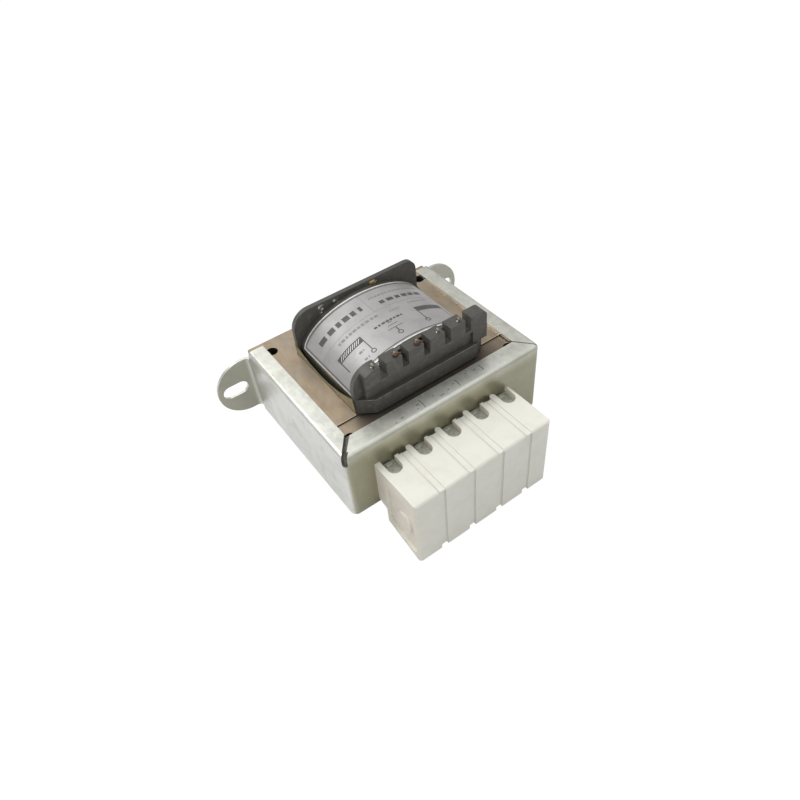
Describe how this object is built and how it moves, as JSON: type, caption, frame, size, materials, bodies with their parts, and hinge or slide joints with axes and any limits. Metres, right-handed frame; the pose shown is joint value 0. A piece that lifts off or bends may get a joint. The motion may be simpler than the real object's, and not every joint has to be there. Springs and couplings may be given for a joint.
{
  "type": "lighting transformer",
  "caption": "Open chassis-mount lamp transformer: laminated core in a folded channel frame with slotted ears, wound moulded bobbin and a terminal block on its front.",
  "frame": {"origin": "centre of the bounding box's lower face, below the middle of the object", "axes": "+Z through the laminations with the solder tags up, +Y towards the fixing ears and the wall they bolt to, -Y towards the terminal block"},
  "size_m": [0.1178, 0.0944, 0.068],
  "materials": {
    "zinc_steel": "zinc-plated sheet, satin with a mottled bloom",
    "lamination_steel": "silicon steel under brownish varnish, satin",
    "bobbin_plastic": "black moulded nylon, satin",
    "winding_copper": "enamelled copper, gloss",
    "insulation_paper": "varnished paper, matte",
    "tape_polyester": "black polyester tape, satin",
    "label_foil": "silver-grey foil, satin",
    "window_film": "olive-tan pressboard film, satin",
    "tag_tin": "tinned brass, satin",
    "terminal_nylon": "cream nylon, satin",
    "terminal_tin": "tinned brass, satin",
    "screw_zinc": "zinc-plated steel, satin"
  },
  "bodies": {
    "root": {"clamp_frame": "zinc_steel", "e_laminations": "lamination_steel", "i_laminations": "lamination_steel", "bobbin": "bobbin_plastic", "primary_winding": "winding_copper", "interwinding_insulation": "insulation_paper", "secondary_winding": "winding_copper", "outer_tape_wrap": "tape_polyester", "rating_label": "label_foil", "window_film_left": "window_film", "window_film_right": "window_film", "terminal_block_body": "terminal_nylon", "solder_tag_1": "tag_tin", "solder_tag_2": "tag_tin", "solder_tag_3": "tag_tin", "solder_tag_4": "tag_tin", "solder_tag_5": "tag_tin", "rear_tag_1": "tag_tin", "rear_tag_2": "tag_tin", "rear_tag_3": "tag_tin", "winding_end_1": "winding_copper", "winding_end_2": "winding_copper", "terminal_1": "terminal_tin", "terminal_screw_1": "screw_zinc", "terminal_2": "terminal_tin", "terminal_screw_2": "screw_zinc", "terminal_3": "terminal_tin", "terminal_screw_3": "screw_zinc", "terminal_4": "terminal_tin", "terminal_screw_4": "screw_zinc", "terminal_5": "terminal_tin", "terminal_screw_5": "screw_zinc"}
  },
  "joints": []
}
